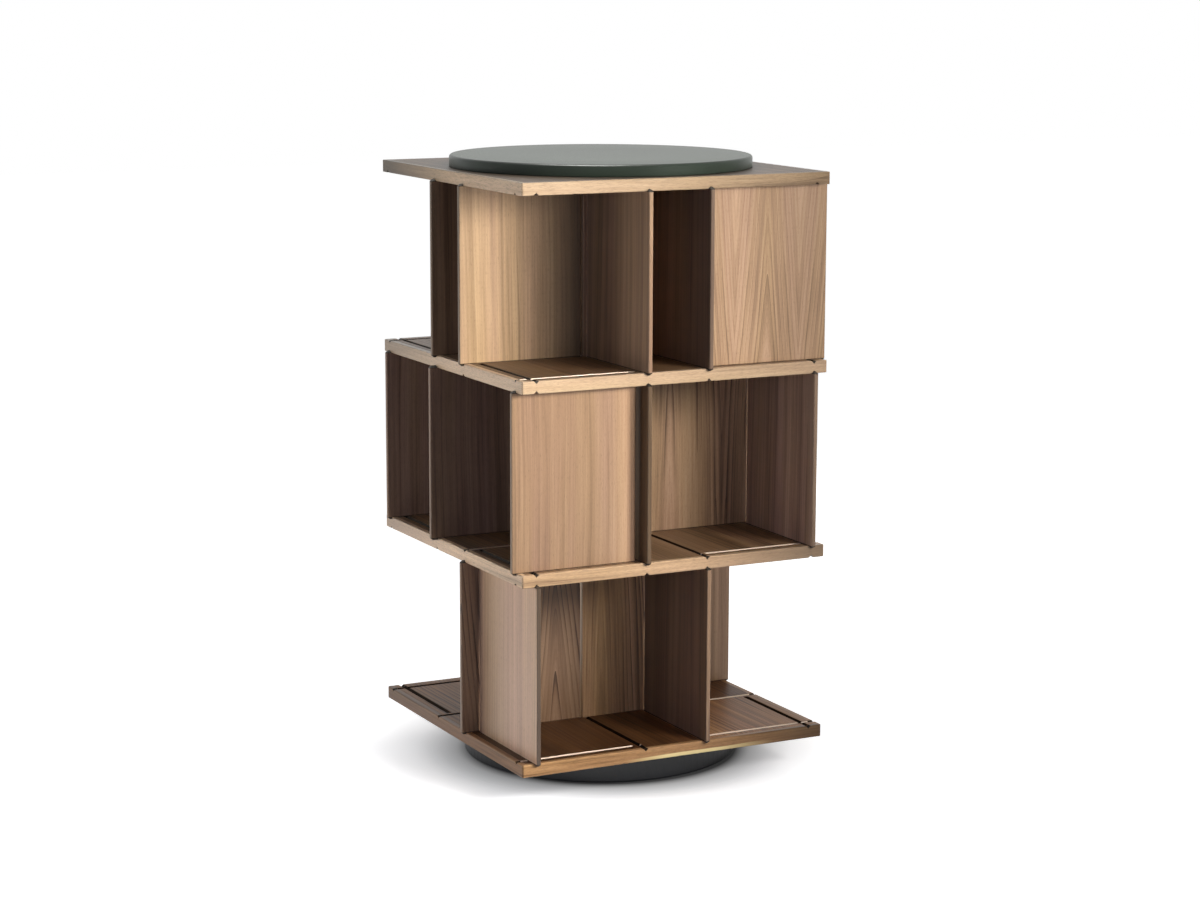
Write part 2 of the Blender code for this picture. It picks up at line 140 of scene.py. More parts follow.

# Painted highlight: the front grooves of three plates are painted pale on the upper part of
# their inner side, where light catches the slope: how far behind the groove's middle and how
# deep under the plate's face it lies
lip_start = 0.0002
lip_end = 0.0048
lip_least_depth = 0.0001
lip_depth = 0.0022
lip_highlight_tones = {
    "bottom_plate": (0.78, 0.62, 0.47),
    "lower_shelf": (0.66, 0.52, 0.39),
    "upper_shelf": (0.96, 0.77, 0.59),
}

# Walnut tones, from the darkest late wood to the palest sapwood, and where each one stands
# on the scale from 0 to 1 that the marks add up to
walnut_tones = {
    "board": ((0.055, 0.030, 0.018), (0.180, 0.104, 0.056), (0.315, 0.198, 0.112)),
    "divider": ((0.080, 0.045, 0.029), (0.270, 0.169, 0.105), (0.430, 0.290, 0.190)),
    "core": ((0.070, 0.039, 0.023), (0.235, 0.144, 0.083), (0.390, 0.256, 0.156)),
    "edge": ((0.120, 0.072, 0.042), (0.370, 0.258, 0.166), (0.530, 0.395, 0.270)),
}
walnut_tone_places = (0.20, 0.50, 0.80)
cool_tint = (1.00, 0.95, 0.94)
warm_tint = (1.03, 1.02, 0.87)

# Specular level and coat weight of each kind of piece, and of single pieces that differ
walnut_gloss = {
    "board": (0.26, 0.03),
    "divider": (0.50, 0.14),
    "core": (0.50, 0.14),
    "edge": (0.60, 0.30),
    "bottom_plate": (0.12, 0.0),
    "bottom_plate_edging": (0.26, 0.04),
    "top_plate_edging": (0.40, 0.16),
}
walnut_gloss_tint = (1.0, 0.92, 0.82, 1.0)
walnut_roughness = (0.36, 0.48)
walnut_coat_roughness = 0.30
walnut_relief = 0.00005
walnut_edge_radius = 0.0025

# What a noise mostly stays between, and what it hardly ever leaves
noise_range = (0.3, 0.7)
wide_noise_range = (0.2, 0.8)

# Marks that follow the fibres: how many fit in a metre across, through and along them
fibre_marks = {
    "wander": {"scale": (5.0, 5.0, 1.3), "detail": 1.0},
    "ripple": {"scale": (38.0, 38.0, 4.0), "detail": 2.0},
    "broad": {"scale": (11.0, 11.0, 1.6), "detail": 3.0},
    "fibres": {"scale": (700.0, 700.0, 14.0), "detail": 3.0, "roughness": 0.6},
    "pores": {"scale": (2300.0, 2300.0, 120.0), "detail": 1.0},
    "long_streaks": {"scale": (260.0, 260.0, 5.0), "detail": 2.0},
    "dashes": {"scale": (900.0, 900.0, 90.0), "detail": 2.0},
}

# Marks that follow the rings: how many fit in a metre outwards and along the fibres; the
# third number sets how much they differ from piece to piece
ring_marks = {
    "bands": {"scale": (60.0, 0.9, 1.0), "detail": 3.0},
    "streaks": {"scale": (240.0, 1.5, 1.0), "detail": 4.0, "roughness": 0.62},
    "fade": {"scale": (30.0, 3.0, 1.0), "detail": 1.0, "offset": (5, 5, 5)},
    "warmth": {"scale": (22.0, 1.2, 1.0), "detail": 2.0},
}

# How far apart the marks of one piece and the next are taken from the same noise
seed_offsets = (3.17, 1.31, 2.23)
seed_ring_offset = 1.7
dowel_seed = 3.3

# Growth rings: how round a crown's peak is, how much the rings shift through a board, how
# far they stray, how close and how uneven they are, how narrow their dark late wood is, how
# much it darkens a piece on average, and where it fades out
ring_crown_radius = 0.004
ring_depth_share = 0.30
wander_size = 0.032
ripple_size = 0.0055
ring_rate = 105.0
ring_unevenness = 2.6
late_wood_power = 3.5
late_wood_mean = 0.12
fade_range = (0.35, 0.65)

# How much each kind of mark moves the tone; the wide ones are quieter on dividers
bands_share = 0.70
streaks_share = 0.55
fibres_share = 0.32
broad_share = 0.45
divider_wide_share = 0.85
plain_streak_share = 0.25
stick_streak_shares = {"bottom_plate_edging": 0.80}

# Pores, and the short dashes that they show on edging
pore_tone = (0.035, 0.018, 0.009)
pore_range = (0.60, 0.72)
pore_strength = 0.40
pore_relief = 0.8
dash_range = (0.50, 0.68)
dash_strength = 0.34

# Where the rings peak across a piece, how far it is to the next valley (none without a
# reach), how steeply their lines run out, and how dark they are; four pieces have a crown
# figure in the photo
plain_figure = {"peak": -0.40, "reach": 0.0, "lean": 0.01, "lines": 0.12}
board_figure = {"peak": -0.40, "reach": 0.0, "lean": 0.01, "lines": 0.45}
crown_figures = {
    "core_wall_bottom_front": {"peak": -0.030, "reach": 0.090, "lean": 0.05, "lines": 0.80},
    "divider_bottom_left_inner_front": {
        "peak": -0.122,
        "reach": 0.050,
        "lean": 0.10,
        "lines": 0.95,
    },
    "divider_middle_right_inner_front": {
        "peak": 0.110,
        "reach": 0.110,
        "lean": 0.03,
        "lines": 0.45,
    },
    "divider_top_right_outer_front": {
        "peak": 0.188,
        "reach": 0.065,
        "lean": 0.095,
        "lines": 0.28,
    },
}

# Dividers whose figure is quieter than that of the others
figure_strengths = {
    "divider_bottom_front_outer_left": 0.42,
    "divider_middle_left_outer_front": 0.60,
    "divider_top_left_inner_front": 0.66,
}

# Pieces made darker or paler than the rest: painted shade and light for how each is lit, along
# with tone that differs from piece to piece
piece_shades = {
    "lower_shelf": (0.90, 0.90, 0.90),
    "upper_shelf": (0.66, 0.64, 0.62),
    "top_plate": (0.70, 0.70, 0.70),
    "core_wall_bottom_front": (1.46, 1.46, 1.38),
    "divider_bottom_front_inner_right": (0.60, 0.60, 0.66),
    "divider_bottom_front_outer_left": (1.65, 1.70, 1.82),
    "divider_bottom_left_inner_front": (0.62, 0.60, 0.60),
    "divider_middle_front_inner_left": (0.28, 0.27, 0.25),
    "divider_middle_front_outer_right": (1.12, 1.15, 1.25),
    "divider_middle_left_inner_back": (0.65, 0.65, 0.70),
    "divider_middle_left_outer_back": (0.85, 0.85, 0.90),
    "divider_middle_left_outer_front": (0.88, 0.88, 0.88),
    "divider_top_front_inner_left": (0.64, 0.64, 0.65),
    "divider_top_front_inner_right": (0.56, 0.56, 0.62),
    "divider_top_left_inner_back": (0.55, 0.55, 0.55),
    "divider_top_left_inner_front": (1.50, 1.60, 1.52),
    "divider_top_right_outer_front": (1.12, 1.15, 1.17),
}

# Painted shade and light on the outer ends of dividers: their level against their faces, and
# how far in it reaches
end_levels = {
    "divider_bottom_front_inner_right": 1.80,
    "divider_bottom_front_outer_left": 0.10,
    "divider_middle_front_outer_right": 0.38,
    "divider_top_front_inner_left": 1.40,
    "divider_top_left_inner_front": 0.34,
    "divider_top_right_outer_front": 0.62,
}
end_shade_start = 0.0003
end_shade_end = 0.0016

# Dividers with light and shade painted along their length: distance in from the outer end and
# level; no level may be above the most, and no distance above the run
tone_run_most = 2.0
tone_run_length = 0.237
tone_runs = {
    "divider_bottom_front_inner_right": ((0.02, 1.10), (0.11, 0.82), (0.19, 0.58)),
    "divider_bottom_front_outer_left": ((0.02, 1.22), (0.09, 1.20), (0.15, 1.00), (0.21, 0.78)),
    "divider_middle_front_outer_right": ((0.01, 1.20), (0.07, 1.50), (0.13, 1.08), (0.19, 0.95)),
    "divider_middle_left_outer_front": ((0.19, 1.00), (0.23, 1.50)),
    "divider_middle_right_inner_front": ((0.10, 1.45), (0.15, 0.97), (0.22, 1.00)),
    "divider_top_front_inner_right": ((0.02, 0.62), (0.07, 0.86), (0.13, 1.35), (0.19, 1.60)),
    "divider_top_left_inner_front": (
        (0.02, 0.92),
        (0.08, 1.16),
        (0.14, 1.08),
        (0.20, 0.92),
        (0.23, 0.32),
    ),
    "divider_top_right_outer_front": ((0.01, 0.95), (0.06, 0.86), (0.11, 1.02), (0.16, 1.10)),
}

# Painted shade and light on the bottom plate: its front compartment darkens towards the left,
# and the ones to the right of it and behind it have levels of their own
bottom_plate_tones = {
    "front_left": (0.22, 0.165, 0.125),
    "front_middle": (0.53, 0.40, 0.30),
    "front_right": (1.35, 1.15, 1.00),
    "back_left": (1.22, 1.03, 0.86),
    "back_right": (0.56, 0.42, 0.32),
}
front_compartment_left = -0.25
front_compartment_right = 0.05
compartment_change = 0.010

# Painted light: the upper shelf is paler in its back left compartment
pale_corner_level = 1.9

# Painted shadow: the upper faces of the top plate and its edging darken close to the pad
pad_shadow_pieces = ("top_plate", "top_plate_edging")
pad_shadow_start = 0.273
pad_shadow_end = 0.318
pad_shadow_level = 0.26
pad_shadow_depth = 0.001

# Painted light and shade on the edging, with a tone for each stick: of the front stick at its
# left and right ends, and of the left stick at its front and back ends; the other two sticks are
# like the front one's left end
stick_tones = {
    "bottom_plate_edging": {
        "front": ((0.98, 0.78, 0.56), (0.38, 0.31, 0.24)),
        "left": ((0.58, 0.42, 0.29), (0.42, 0.30, 0.20)),
    },
    "lower_shelf_edging": {
        "front": ((1.14, 1.08, 1.00), (0.50, 0.48, 0.44)),
        "left": ((1.80, 1.78, 1.74), (1.00, 0.98, 0.97)),
    },
    "upper_shelf_edging": {
        "front": ((1.00, 1.00, 1.00), (1.00, 1.00, 1.00)),
        "left": ((1.62, 1.64, 1.68), (0.80, 0.82, 0.84)),
    },
    "top_plate_edging": {
        "front": ((0.95, 0.95, 0.94), (0.90, 0.90, 0.92)),
        "left": ((1.62, 1.62, 1.60), (0.34, 0.35, 0.34)),
    },
}
front_change_start = 0.03
front_change_end = 0.27
left_change_start = -0.02
left_change_end = 0.26

# A pale yellow band low on the front stick of one edging: its upper edge waves a few times in a
# metre, and it fades in and out at its ends
pale_band_piece = "bottom_plate_edging"
pale_band_tone = (0.78, 0.62, 0.30)
pale_band_top = 0.0625
pale_band_wave_height = 0.004
pale_band_waves = (9.0, 1.0, 1.0)
pale_band_left = -0.10
pale_band_left_fade = 0.08
pale_band_right = 0.20
pale_band_right_fade = 0.12
pale_band_front = -0.29

# Leather
leather_tones = ((0.018, 0.025, 0.017), (0.026, 0.035, 0.024))
leather_grain_scale = 900.0
leather_grain_range = (0.0, 0.8)
leather_crease_scale = 260.0
leather_crease_share = 0.5
leather_crease_distortion = 0.6
leather_cloud_scale = 9.0
leather_roughness = (0.28, 0.40)
leather_specular = 0.22
leather_sheen = 0.04
leather_sheen_roughness = 0.40
leather_sheen_tint = (0.78, 1.0, 0.72, 1.0)
leather_relief = 0.00010

# Leather skin of the pad, drawn over its board and turned under at the bottom; its top face
# dips a little half way out
skin_thickness = 0.0015
skin_top_radius = 0.0050
skin_foot_radius = 0.0012
skin_top_dip = 0.000075
skin_weld_distance = 0.000015
fine_turn_steps = 288
fine_arc_steps = 10

# Black lacquer
lacquer_tones = ((0.0055, 0.0058, 0.0066), (0.0085, 0.0090, 0.0100))
lacquer_cloud_scale = 14.0
lacquer_peel_scale = 420.0
lacquer_roughness = (0.34, 0.42)
lacquer_relief = 0.00005

# Metals: tone and the span of their roughness
steel_tone = (0.52, 0.52, 0.53)
steel_roughness = (0.28, 0.42)
iron_tone = (0.10, 0.10, 0.105)
iron_roughness = (0.45, 0.62)
metal_dull_share = 0.85
metal_bloom_scale = 60.0
metal_scratches = (1500, 90, 90)
metal_relief = 0.00002

# Bare board
flake_tones = ((0.300, 0.225, 0.145), (0.470, 0.370, 0.250))
flake_range = (0.32, 0.68)
flake_scale = 700.0
flake_unevenness = 0.7
flake_roughness = 0.75
flake_relief = 0.00010

# Rubber
rubber_tones = ((0.018, 0.018, 0.018), (0.030, 0.030, 0.030))
rubber_range = (0.0, 0.8)
rubber_scale = 800.0
rubber_roughness = 0.8
rubber_relief = 0.00015

# The pieces of each finish that has several
boards = ("bottom_plate", "lower_shelf", "upper_shelf", "top_plate")
dowels = ("pad_dowel_left", "pad_dowel_right")
steel_pieces = (
    "tie_rod",
    "clamp_washer",
    "clamp_nut",
    "bottom_flange",
    "swivel_lower_race",
    "swivel_upper_race",
    "swivel_ball_cage",
)


def grey(level):
    return level, level, level


class Shading:
    """Makes and links the nodes of one material."""

    def __init__(self, name):
        self.material = bpy.data.materials.new(name)
        self.material.use_nodes = True
        self.nodes = self.material.node_tree.nodes
        self.links = self.material.node_tree.links
        self.shader = self.nodes["Principled BSDF"]
        self.place = self.nodes.new("ShaderNodeTexCoord").outputs["Object"]

    def feed(self, socket, value):
        if isinstance(value, bpy.types.NodeSocket):
            self.links.new(value, socket)
        else:
            socket.default_value = value

    def calculate(self, operation, *values):
        node = self.nodes.new("ShaderNodeMath")
        node.operation = operation
        for socket, value in zip(node.inputs, values):
            self.feed(socket, value)
        return node.outputs[0]

    def split(self):
        """The place's X, Y and Z."""
        node = self.nodes.new("ShaderNodeSeparateXYZ")
        self.feed(node.inputs[0], self.place)
        return node.outputs[0], node.outputs[1], node.outputs[2]

    def join(self, x, y, z):
        node = self.nodes.new("ShaderNodeCombineXYZ")
        for socket, value in zip(node.inputs, (x, y, z)):
            self.feed(socket, value)
        return node.outputs[0]

    def stretch(self, place, factors, offset=(0, 0, 0)):
        node = self.nodes.new("ShaderNodeVectorMath")
        node.operation = "MULTIPLY_ADD"
        self.feed(node.inputs[0], place)
        node.inputs[1].default_value = factors
        node.inputs[2].default_value = offset
        return node.outputs[0]

    def noise(self, place, scale=1.0, detail=2.0, roughness=0.5, distortion=0.0):
        node = self.nodes.new("ShaderNodeTexNoise")
        self.feed(node.inputs["Vector"], place)
        node.inputs["Scale"].default_value = scale
        node.inputs["Detail"].default_value = detail
        node.inputs["Roughness"].default_value = roughness
        node.inputs["Distortion"].default_value = distortion
        return node.outputs["Fac"]

    def cells(self, place, scale, feature="F1"):
        node = self.nodes.new("ShaderNodeTexVoronoi")
        node.feature = feature
        self.feed(node.inputs["Vector"], place)
        node.inputs["Scale"].default_value = scale
        return node.outputs["Distance"]

    def spread(self, value, low, high, new_low=0.0, new_high=1.0):
        node = self.nodes.new("ShaderNodeMapRange")
        self.feed(node.inputs["Value"], value)
        node.inputs["From Min"].default_value = low
        node.inputs["From Max"].default_value = high
        node.inputs["To Min"].default_value = new_low
        node.inputs["To Max"].default_value = new_high
        return node.outputs["Result"]

    def ramp(self, value, positions, colours):
        node = self.nodes.new("ShaderNodeValToRGB")
        self.feed(node.inputs[0], value)
        elements = node.color_ramp.elements
        while len(elements) < len(positions):
            elements.new(1.0)
        for element, position, colour in zip(elements, positions, colours):
            element.position = position
            element.color = (*colour, 1)
        return node.outputs["Color"]

    def mix(self, factor, first, second, blend="MIX"):
        node = self.nodes.new("ShaderNodeMix")
        node.data_type = "RGBA"
        node.blend_type = blend
        self.feed(node.inputs["Factor"], factor)
        colours = [socket for socket in node.inputs if socket.type == "RGBA"]
        for socket, value in zip(colours, (first, second)):
            self.feed(socket, value if isinstance(value, bpy.types.NodeSocket) else (*value, 1))
        return [socket for socket in node.outputs if socket.type == "RGBA"][0]

    def times(self, colour, tone):
        """A colour multiplied by a tone, or by the output of a node that gives one level."""
        return self.mix(1.0, colour, tone, "MULTIPLY")

    def bump(self, height, distance, normal=None):
        node = self.nodes.new("ShaderNodeBump")
        node.inputs["Distance"].default_value = distance
        self.feed(node.inputs["Height"], height)
        if normal is not None:
            self.feed(node.inputs["Normal"], normal)
        return node.outputs["Normal"]

    def rounded(self, radius):
        """Normals that turn evenly round the corners, as on sanded edges."""
        node = self.nodes.new("ShaderNodeBevel")
        node.samples = 4
        node.inputs["Radius"].default_value = radius
        return node.outputs["Normal"]

    def finish(self, **sockets):
        """Set or link the shader's inputs, such as base_color or roughness."""
        for name, value in sockets.items():
            socket = self.shader.inputs[name.replace("_", " ").title().replace("Ior", "IOR")]
            self.feed(socket, value)
        return self.material


class Wood(Shading):
    """The nodes of one piece of wood, with the run of its fibres and its growth rings."""

    def __init__(self, name, grain, seed, figure):
        super().__init__(name)
        self.across, self.deep, self.along = self.grain_axes(grain)
        self.fibre_place = self.join(self.across, self.deep, self.along)
        self.fibre_offset = [seed * offset for offset in seed_offsets]
        self.distance = self.ring_distance(figure)
        self.ring_place = self.join(self.distance, self.along, seed * seed_ring_offset)

    def grain_axes(self, grain):
        """The place across the fibres, through the board and along the fibres.

        XZ and YZ are upright boards that face Y and X; Y is a flat board; FRAME is edging,
        whose fibres follow each side as far as the mitres.
        """
        x, y, z = self.split()
        if grain == "XZ":
            return x, y, z
        if grain == "YZ":
            return y, x, z
        if grain == "Y":
            return x, z, y
        beside = self.calculate(
            "GREATER_THAN", self.calculate("ABSOLUTE", x), self.calculate("ABSOLUTE", y)
        )
        step = self.calculate("MULTIPLY", beside, self.calculate("SUBTRACT", y, x))
        return self.calculate("SUBTRACT", y, step), z, self.calculate("ADD", x, step)

    def mark(self, place, scale, offset=(0, 0, 0), **noise_values):
        """A noise with its own scale in each direction."""
        return self.noise(self.stretch(place, scale, offset), **noise_values)

    def fibre_mark(self, kind):
        """One kind of mark that follows the fibres."""
        return self.mark(self.fibre_place, offset=self.fibre_offset, **fibre_marks[kind])

    def ring_mark(self, kind):
        """One kind of mark that follows the growth rings."""
        return self.mark(self.ring_place, **ring_marks[kind])

    def ring_distance(self, figure):
        """How far out in the tree a point lies: its rings run upright, or in crowns.

        With a reach, the rings climb and fall across the piece, and lean makes their lines
        run out from each peak as they go down.
        """
        side = self.calculate("SUBTRACT", self.across, figure["peak"])
        if figure["reach"]:
            side = self.calculate("PINGPONG", side, figure["reach"])
        round_top = self.calculate("MULTIPLY_ADD", side, side, ring_crown_radius**2)
        distance = self.calculate("SQRT", round_top)
        for value, share in (
            (self.along, figure["lean"]),
            (self.deep, ring_depth_share),
            (self.fibre_mark("wander"), wander_size),
            (self.fibre_mark("ripple"), ripple_size),
        ):
            distance = self.calculate("MULTIPLY_ADD", value, share, distance)
        return distance

    def late_wood(self, bands):
        """One on the dark line that ends each ring, where that line doesn't fade out."""
        uneven = self.calculate("MULTIPLY_ADD", bands, ring_unevenness, self.distance)
        turns = self.calculate("MULTIPLY_ADD", self.distance, ring_rate, uneven)
        line = self.calculate("POWER", self.calculate("FRACT", turns), late_wood_power)
        fade = self.spread(self.ring_mark("fade"), *fade_range)
        return self.calculate("MULTIPLY", line, fade)

    def figure_colour(self, name, tone, fibres, lines):
        """The colour that the piece's marks add up to; lines is how dark the late wood is."""
        strength = figure_strengths.get(name, 1.0)
        wide = strength * (divider_wide_share if tone == "divider" else 1.0)
        bands = self.ring_mark("bands")
        shares = [
            (bands, bands_share * wide),
            (self.ring_mark("streaks"), streaks_share * strength),
            (fibres, fibres_share * strength),
            (self.fibre_mark("broad"), broad_share * wide),
        ]
        if tone == "edge":
            long_share = stick_streak_shares.get(name, plain_streak_share)
            shares.append((self.fibre_mark("long_streaks"), long_share))
        middle = walnut_tone_places[1]
        total = middle - sum(share for _, share in shares) / 2 + lines * late_wood_mean
        shares.append((self.late_wood(bands), -lines))
        for value, share in shares:
            total = self.calculate("MULTIPLY_ADD", value, share, total)
        colour = self.ramp(total, walnut_tone_places, walnut_tones[tone])
        warmth = self.spread(self.ring_mark("warmth"), *noise_range)
        return self.times(colour, self.ramp(warmth, (0.0, 1.0), (cool_tint, warm_tint)))


def groove_shade(shading, box):
    """Full colour on the faces of a plate and painted shade in its grooves."""
    x, y, z = shading.split()
    low, high = box
    below = shading.calculate("SUBTRACT", high.z, z)
    above = shading.calculate("SUBTRACT", z, low.z)
    depth = shading.calculate("MINIMUM", below, above)
    shade = shading.spread(depth, groove_shade_start, groove_shade_end, 1.0, groove_bottom_level)
    outward = shading.calculate(
        "MAXIMUM", shading.calculate("ABSOLUTE", x), shading.calculate("ABSOLUTE", y)
    )
    on_rim = shading.calculate("GREATER_THAN", outward, high.x - groove_rim_margin)
    return shading.calculate("MAXIMUM", shade, on_rim)


def seat_shade(shading, box):
    """Full colour where a divider shows, and painted shade where it stands in a groove."""
    z = shading.split()[2]
    low, high = box
    below = shading.calculate("SUBTRACT", high.z, z)
    above = shading.calculate("SUBTRACT", z, low.z)
    depth = shading.calculate("MINIMUM", below, above)
    seat_start = seated_height - seat_shade_height
    return shading.spread(depth, seat_start, seated_height, groove_bottom_level, 1.0)


def painted_lip_highlight(shading, box):
    """One where a highlight is painted, on the upper inner sides of the front grooves; zero
    elsewhere.
    """
    _, y, z = shading.split()
    below = shading.calculate("SUBTRACT", box[1].z, z)
    total = 0.0
    for middle in (-outer_groove, -inner_groove):
        share = shading.calculate("GREATER_THAN", y, middle + lip_start)
        for test, value, limit in (
            ("LESS_THAN", y, middle + lip_end),
            ("GREATER_THAN", below, lip_least_depth),
            ("LESS_THAN", below, lip_depth),
        ):
            share = shading.calculate("MULTIPLY", share, shading.calculate(test, value, limit))
        total = shading.calculate("ADD", share, total)
    return total


def divider_arm(name):
    """The side of the core that a divider stands on: the third word of its name."""
    return name.split("_")[2]


def depth_from_end(shading, name):
    """How far in from its outer end a point of a divider lies."""
    x, y, _ = shading.split()
    low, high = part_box(name)
    inward = {
        "front": (y, low.y),
        "left": (x, low.x),
        "back": (high.y, y),
        "right": (high.x, x),
    }[divider_arm(name)]
    return shading.calculate("SUBTRACT", *inward)


def end_shade(shading, name):
    """The level painted at a divider's outer end, darker for shade and paler for light; one
    elsewhere.
    """
    depth = depth_from_end(shading, name)
    return shading.spread(depth, end_shade_start, end_shade_end, end_levels[name], 1.0)


def tone_run(shading, name):
    """The painted light and shade along a divider's length."""
    share = shading.calculate("DIVIDE", depth_from_end(shading, name), tone_run_length)
    positions = [depth / tone_run_length for depth, _ in tone_runs[name]]
    levels = [grey(level / tone_run_most) for _, level in tone_runs[name]]
    return shading.times(shading.ramp(share, positions, levels), grey(tone_run_most))


def compartment_tone(shading):
    """The painted shade and light of the bottom plate in each of its compartments."""
    tones = bottom_plate_tones
    x, y, _ = shading.split()
    rightward = shading.spread(x, front_compartment_left, front_compartment_right)
    inside = shading.mix(rightward, tones["front_left"], tones["front_middle"])
    beyond_start = front_compartment_right
    beyond = shading.spread(x, beyond_start, beyond_start + 2 * compartment_change)
    front = shading.mix(beyond, inside, tones["front_right"])
    change_start = -inner_groove - compartment_change
    change_end = -inner_groove + compartment_change
    past_core = shading.spread(x, change_start, change_end)
    back = shading.mix(past_core, tones["back_left"], tones["back_right"])
    behind = shading.spread(y, change_start, change_end)
    return shading.mix(behind, front, back)


def pale_corner(shading):
    """The painted light behind and to the left of the core, and one elsewhere."""
    x, y, _ = shading.split()
    behind = shading.spread(y, inner_groove, inner_groove + compartment_change)
    beside = shading.spread(x, -inner_groove, -inner_groove - compartment_change)
    share = shading.calculate("MULTIPLY", behind, beside)
    return shading.spread(share, 0.0, 1.0, 1.0, pale_corner_level)


def pad_shadow(shading, box):
    """The painted shadow on the top plate's upper face round the pad."""
    x, y, z = shading.split()
    reach = shading.calculate(
        "SQRT", shading.calculate("MULTIPLY_ADD", x, x, shading.calculate("MULTIPLY", y, y))
    )
    level = shading.spread(reach, pad_shadow_start, pad_shadow_end, pad_shadow_level, 1.0)
    below_face = shading.calculate("LESS_THAN", z, box[1].z - pad_shadow_depth)
    return shading.calculate("MAXIMUM", level, below_face)


def stick_tone(shading, front, left):
    """Painted light and shade, with each stick's tone, on the front and left sticks up to the
    mitres.
    """
    x, y, _ = shading.split()
    forward = shading.calculate("SUBTRACT", 0.0, y)
    leftward = shading.calculate("SUBTRACT", 0.0, x)
    on_front = shading.calculate("GREATER_THAN", forward, shading.calculate("ABSOLUTE", x))
    on_left = shading.calculate("GREATER_THAN", leftward, shading.calculate("ABSOLUTE", y))
    along_front = shading.spread(x, front_change_start, front_change_end)
    along_left = shading.spread(y, left_change_start, left_change_end)
    other = shading.mix(on_front, front[0], shading.mix(along_front, *front))
    return shading.mix(on_left, other, shading.mix(along_left, *left))


def piece_tones(shading, name):
    """The tones and levels that set one piece of walnut apart, painted light and shade among them.
    """
    if name in piece_shades:
        yield piece_shades[name]
    if name in tone_runs:
        yield tone_run(shading, name)
    if name in end_levels:
        yield end_shade(shading, name)
    if name in pad_shadow_pieces:
        yield pad_shadow(shading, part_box(name))
    if name == "upper_shelf":
        yield pale_corner(shading)
    if name == "bottom_plate":
        yield compartment_tone(shading)
    if name in stick_tones:
        yield stick_tone(shading, **stick_tones[name])


def pale_band_share(shading):
    """One on the pale lowest part of the front stick, fading out towards its ends."""
    x, y, z = shading.split()
    wave = shading.noise(shading.stretch(shading.place, pale_band_waves), detail=2.0)
    lowest_top = pale_band_top - pale_band_wave_height / 2
    top = shading.calculate("MULTIPLY_ADD", wave, pale_band_wave_height, lowest_top)
    low = shading.calculate("LESS_THAN", z, top)
    ends = shading.calculate(
        "MULTIPLY",
        shading.spread(x, pale_band_left, pale_band_left + pale_band_left_fade),
        shading.spread(x, pale_band_right, pale_band_right - pale_band_right_fade),
    )
    facing = shading.calculate("LESS_THAN", y, pale_band_front)
    return shading.calculate("MULTIPLY", shading.calculate("MULTIPLY", low, ends), facing)


def walnut(name, tone, grain, seed, figure=plain_figure, shaded=None):
    """Open-pored satin walnut with painted light and shade; shaded paints shade into its joints.
    """
    wood = Wood(name, grain, seed, figure)
    fibres = wood.fibre_mark("fibres")
    pores = wood.spread(wood.fibre_mark("pores"), *pore_range)
    colour = wood.figure_colour(name, tone, fibres, figure["lines"])
    # Each piece's own tone, with light and shade painted into it
    for piece_tone in piece_tones(wood, name):
        colour = wood.times(colour, piece_tone)
    colour = wood.mix(wood.calculate("MULTIPLY", pores, pore_strength), colour, pore_tone)
    if tone == "edge":
        dashes = wood.spread(wood.fibre_mark("dashes"), *dash_range, 0.0, dash_strength)
        colour = wood.mix(dashes, colour, walnut_tones[tone][0])
    if name == pale_band_piece:
        colour = wood.mix(pale_band_share(wood), colour, pale_band_tone)
    roughness = wood.spread(fibres, *wide_noise_range, *walnut_roughness)
    # Painted shade in the grooves and joints, which are dull there too
    if shaded:
        shade = shaded(wood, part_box(name))
        colour = wood.times(colour, shade)
        dull = wood.spread(shade, 1.0, groove_dull_level, 0.0, groove_roughness)
        roughness = wood.calculate("MAXIMUM", roughness, dull)
    # Painted highlight on the upper inner side of the front grooves
    if name in lip_highlight_tones:
        colour = wood.mix(painted_lip_highlight(wood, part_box(name)), colour, lip_highlight_tones[name])
    relief = wood.calculate("MULTIPLY_ADD", pores, -pore_relief, fibres)
    specular, coat = walnut_gloss.get(name, walnut_gloss[tone])
    return wood.finish(
        base_color=colour,
        roughness=roughness,
        specular_ior_level=specular,
        specular_tint=walnut_gloss_tint,
        coat_weight=coat,
        coat_roughness=walnut_coat_roughness,
        normal=wood.bump(relief, walnut_relief, wood.rounded(walnut_edge_radius)),
    )


def leather(name):
    """Smooth grey-green saddle leather with a fine pebbled grain."""
    shading = Shading(name)
    grain = shading.cells(shading.place, leather_grain_scale, "SMOOTH_F1")
    creases = shading.noise(
        shading.place, leather_crease_scale, detail=3.0, distortion=leather_crease_distortion
    )
    clouds = shading.noise(shading.place, leather_cloud_scale, detail=4.0)
    relief = shading.calculate("MULTIPLY_ADD", creases, leather_crease_share, grain)
    return shading.finish(
        base_color=shading.ramp(clouds, noise_range, leather_tones),
        roughness=shading.spread(grain, *leather_grain_range, *leather_roughness),
        specular_ior_level=leather_specular,
        sheen_weight=leather_sheen,
        sheen_roughness=leather_sheen_roughness,
        sheen_tint=leather_sheen_tint,
        normal=shading.bump(relief, leather_relief),
    )


def lacquer(name):
    """Satin black lacquer with a faint orange peel."""
    shading = Shading(name)
    peel = shading.noise(shading.place, lacquer_peel_scale, detail=2.0)
    clouds = shading.noise(shading.place, lacquer_cloud_scale, detail=3.0)
    return shading.finish(
        base_color=shading.ramp(clouds, noise_range, lacquer_tones),
        roughness=shading.spread(peel, *noise_range, *lacquer_roughness),
        normal=shading.bump(peel, lacquer_relief),
    )


